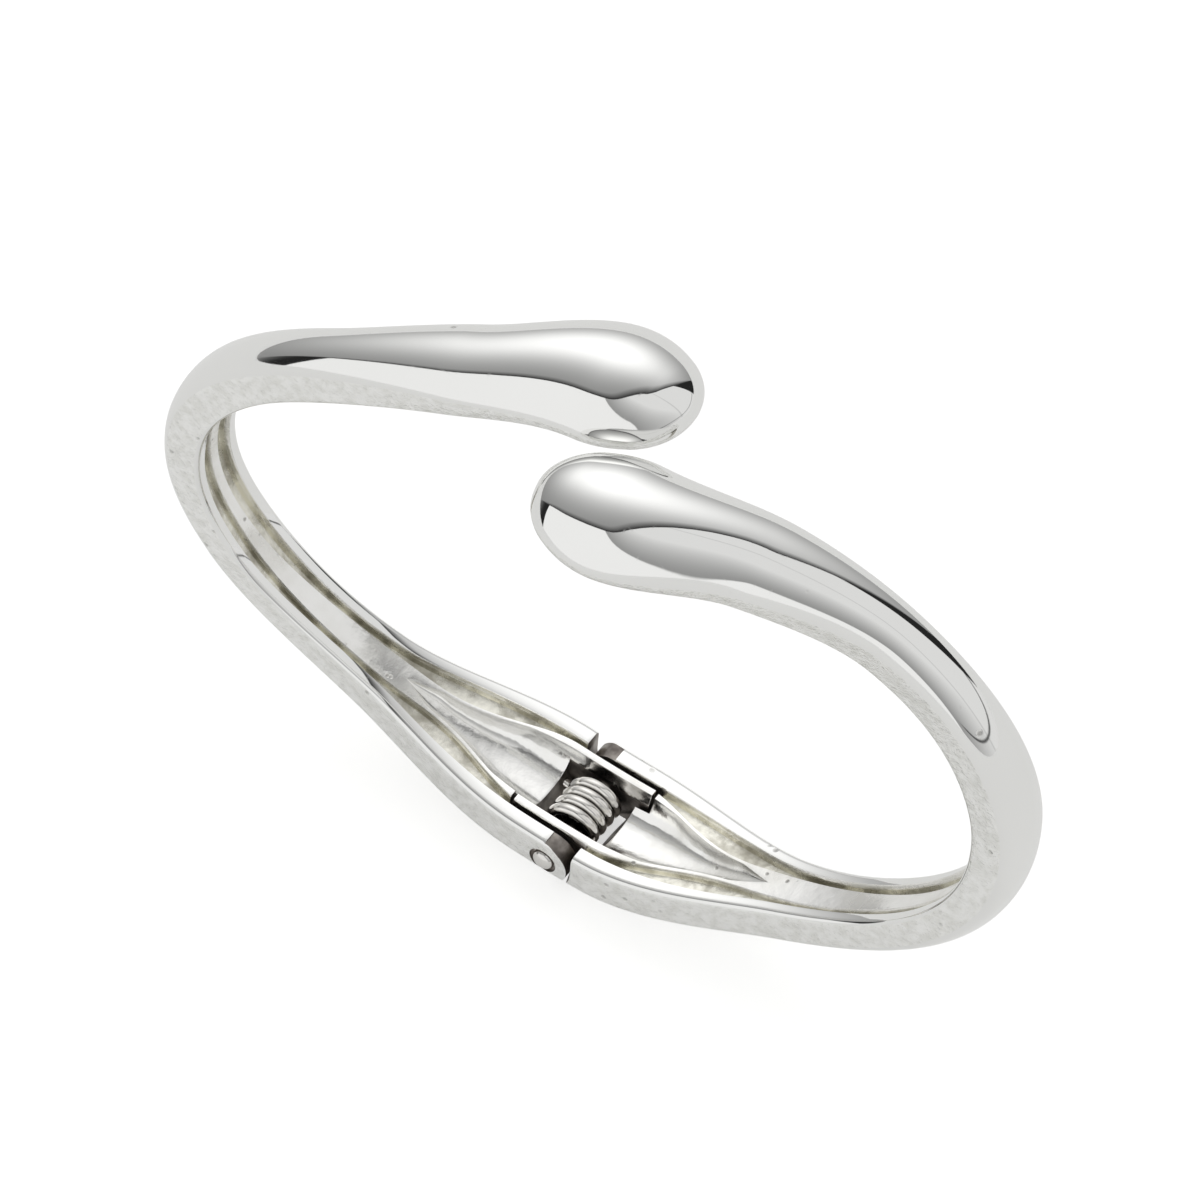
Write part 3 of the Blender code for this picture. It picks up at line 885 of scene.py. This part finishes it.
def lamp_panel(nodes, toward, x, y, z):
    """Mask and light of the big lamp panel overhead, brightest up behind on the left."""
    height = nodes.calc("MAXIMUM", z, 0.02)
    along_x = nodes.calc("SUBTRACT", nodes.calc("DIVIDE", x, height), PANEL_CORNER[0])
    along_y = nodes.calc("SUBTRACT", nodes.calc("DIVIDE", y, height), PANEL_CORNER[1])
    from_right = weighted(nodes, along_x, along_y, PANEL_RIGHT_EDGE)
    from_front = weighted(nodes, along_x, along_y, PANEL_FRONT_EDGE)
    inside = nodes.calc("SMOOTH_MIN", from_right, from_front, PANEL_CORNER_ROUND)
    mask = nodes.ramp(inside, -0.004, 0.004, curve="LINEAR")
    rim = nodes.ramp(inside, 0.0, PANEL_SHADED_RIM, BLACK, 1.0, "LINEAR")
    dot = nodes.add("ShaderNodeVectorMath", operation="DOT_PRODUCT")
    nodes.put(dot.inputs[0], toward)
    dot.inputs[1].default_value = direction(HOT_TURN, HOT_RISE)
    away = nodes.calc("MULTIPLY", nodes.calc("ARCCOSINE", dot.outputs["Value"]), DEGREES)
    spread = nodes.calc("POWER", nodes.calc("DIVIDE", away, HOT_SPREAD), 3.0)
    hot = nodes.calc("DIVIDE", HOT_GLOW, nodes.calc("ADD", spread, 1.0))
    return mask, nodes.calc("MULTIPLY", nodes.calc("ADD", PANEL_GLOW, hot), rim)


def white_sheets(nodes, turn, rise):
    """The white sheet in front, and behind its curved edge a greyer one with a seam."""
    bulge = nodes.calc("MULTIPLY", nodes.calc("MULTIPLY", rise, rise), RIGHT_SHEET_BULGE)
    past_edge = nodes.calc("SUBTRACT", turn, nodes.calc("SUBTRACT", RIGHT_SHEET_TURN, bulge))
    on_right_sheet = nodes.ramp(past_edge, -0.8, 0.8, curve="LINEAR")
    from_seam = nodes.calc("ABSOLUTE", nodes.calc("SUBTRACT", turn, SHEET_SEAM_TURN))
    seam = nodes.ramp(from_seam, 0.6, 2.0, 0.8, 1.0)
    right_glow = nodes.ramp(past_edge, 0.0, 55.0, 0.30, 0.76, "LINEAR")
    return over(nodes, on_right_sheet, nodes.calc("MULTIPLY", right_glow, seam), FRONT_SHEET_GLOW)


def left_gap(nodes, turn, rise):
    """Mask and light of the open gap on the left: black by the front sheet, grey by the panel."""
    edge = nodes.calc("SUBTRACT", LEFT_GAP_TURN, nodes.calc("MULTIPLY", rise, LEFT_GAP_SLANT))
    past_edge = nodes.calc("SUBTRACT", edge, turn)
    mask = nodes.ramp(past_edge, -0.3, 0.3, curve="LINEAR")
    return mask, nodes.ramp(past_edge, 8.0, 50.0, BLACK, 0.42)


def right_gap(nodes, turn, rise):
    """Mask and light of the open gap behind on the right: black, then soon pale."""
    past_edge = nodes.calc("SUBTRACT", turn, RIGHT_GAP_TURN)
    mask = nodes.ramp(past_edge, -0.3, 0.3, curve="LINEAR")
    width = nodes.calc("SUBTRACT", RIGHT_GAP_WIDTH, nodes.calc("MULTIPLY", rise, RIGHT_GAP_SLANT))
    return mask, nodes.ramp(nodes.calc("SUBTRACT", past_edge, width), -6.0, 6.0, BLACK, 0.80)


def low_dark_line(nodes, turn, rise):
    """The thin dark line where the right sheet ends above the floor."""
    from_line = nodes.calc("ABSOLUTE", nodes.calc("SUBTRACT", rise, LOW_LINE_RISE))
    line = nodes.ramp(from_line, 0.3, 0.9, 0.12, 1.0)
    started = nodes.ramp(turn, 50.0, 60.0)
    not_ended = nodes.ramp(turn, 150.0, RIGHT_GAP_TURN)
    return over(nodes, nodes.calc("MULTIPLY", started, not_ended), line, 1.0)


def make_light_tent():
    """Soft surroundings: a lamp panel overhead, white sheets in front and on the right.

    Between the panel and the sheets are dark gaps, which draw the crisp dark lines in the metal.
    """
    world = bpy.data.worlds.new("light_tent")
    bpy.context.scene.world = world
    world.use_nodes = True
    nodes = Nodes(world.node_tree)
    background = world.node_tree.nodes["Background"]
    toward = nodes.add("ShaderNodeTexCoord").outputs["Generated"]
    split = nodes.add("ShaderNodeSeparateXYZ")
    nodes.put(split.inputs[0], toward)
    x, y, z = (split.outputs[name] for name in "XYZ")
    round_from_front = nodes.calc("ARCTAN2", x, nodes.calc("MULTIPLY", y, -1.0))
    turn = nodes.calc("MULTIPLY", round_from_front, DEGREES)
    rise = nodes.calc("MULTIPLY", nodes.calc("ARCSINE", z), DEGREES)
    light = white_sheets(nodes, turn, rise)
    light = over(nodes, *left_gap(nodes, turn, rise), light)
    light = over(nodes, *right_gap(nodes, turn, rise), light)
    light = over(nodes, *lamp_panel(nodes, toward, x, y, z), light)
    light = nodes.calc("MULTIPLY", light, low_dark_line(nodes, turn, rise))
    seen = nodes.add("ShaderNodeLightPath").outputs["Is Camera Ray"]
    nodes.put(background.inputs["Strength"], over(nodes, seen, BACKDROP_SEEN, light))
    background.inputs["Color"].default_value = (1.0, 1.0, 0.995, 1.0)


CAMERA_TURN = math.radians(30.4)
CAMERA_RISE = math.radians(56.2)
CAMERA_ROLL = math.radians(5.4)
CAMERA_DISTANCE = 1.2
CAMERA_LENS = 548.0
CAMERA_SHIFT = 0.0312


def make_camera():
    """A long lens above and to the right of the front, looking at the middle of the opening."""
    data = bpy.data.cameras.new("camera")
    data.sensor_width = 36.0
    data.lens = CAMERA_LENS
    data.shift_y = CAMERA_SHIFT
    camera = bpy.data.objects.new("camera", data)
    bpy.context.scene.collection.objects.link(camera)
    back = Vector(direction(CAMERA_TURN, CAMERA_RISE))
    camera.rotation_mode = "QUATERNION"
    roll = Matrix.Rotation(CAMERA_ROLL, 3, "Z").to_quaternion()
    camera.rotation_quaternion = (-back).to_track_quat("-Z", "Y") @ roll
    camera.location = Vector((0.0, 0.0, OVAL_MIDDLE)) + back * CAMERA_DISTANCE
    bpy.context.scene.camera = camera


def main():
    pits = make_casting_pits()
    skin = make_uneven_skin()
    hairlines = make_hairlines()
    castings = (
        make_bright_plating(pits, skin, hairlines),
        make_wall_skin(pits, skin),
        make_cast_inside(pits, skin),
        make_groove_olive_and_painted_shade(skin),
        make_painted_shade_recess(skin),
    )
    rivet_steel = make_rivet_steel(hairlines)
    spring_steel = make_spring_steel(skin)

    left, right = make_halves(castings)
    for piece, body, node in ((left, "left_half", "left_arm"), (right, "right_half", "right_arm")):
        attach(piece, body)
        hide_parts(node)
    pin = make_pin(rivet_steel)
    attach(pin, "left_half")
    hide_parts("hinge_pin")
    spring = make_spring(spring_steel)
    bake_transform(spring)
    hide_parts("hinge_spring")

    make_floor()
    make_light_tent()
    make_camera()
    bpy.context.scene.view_settings.view_transform = "Standard"


main()
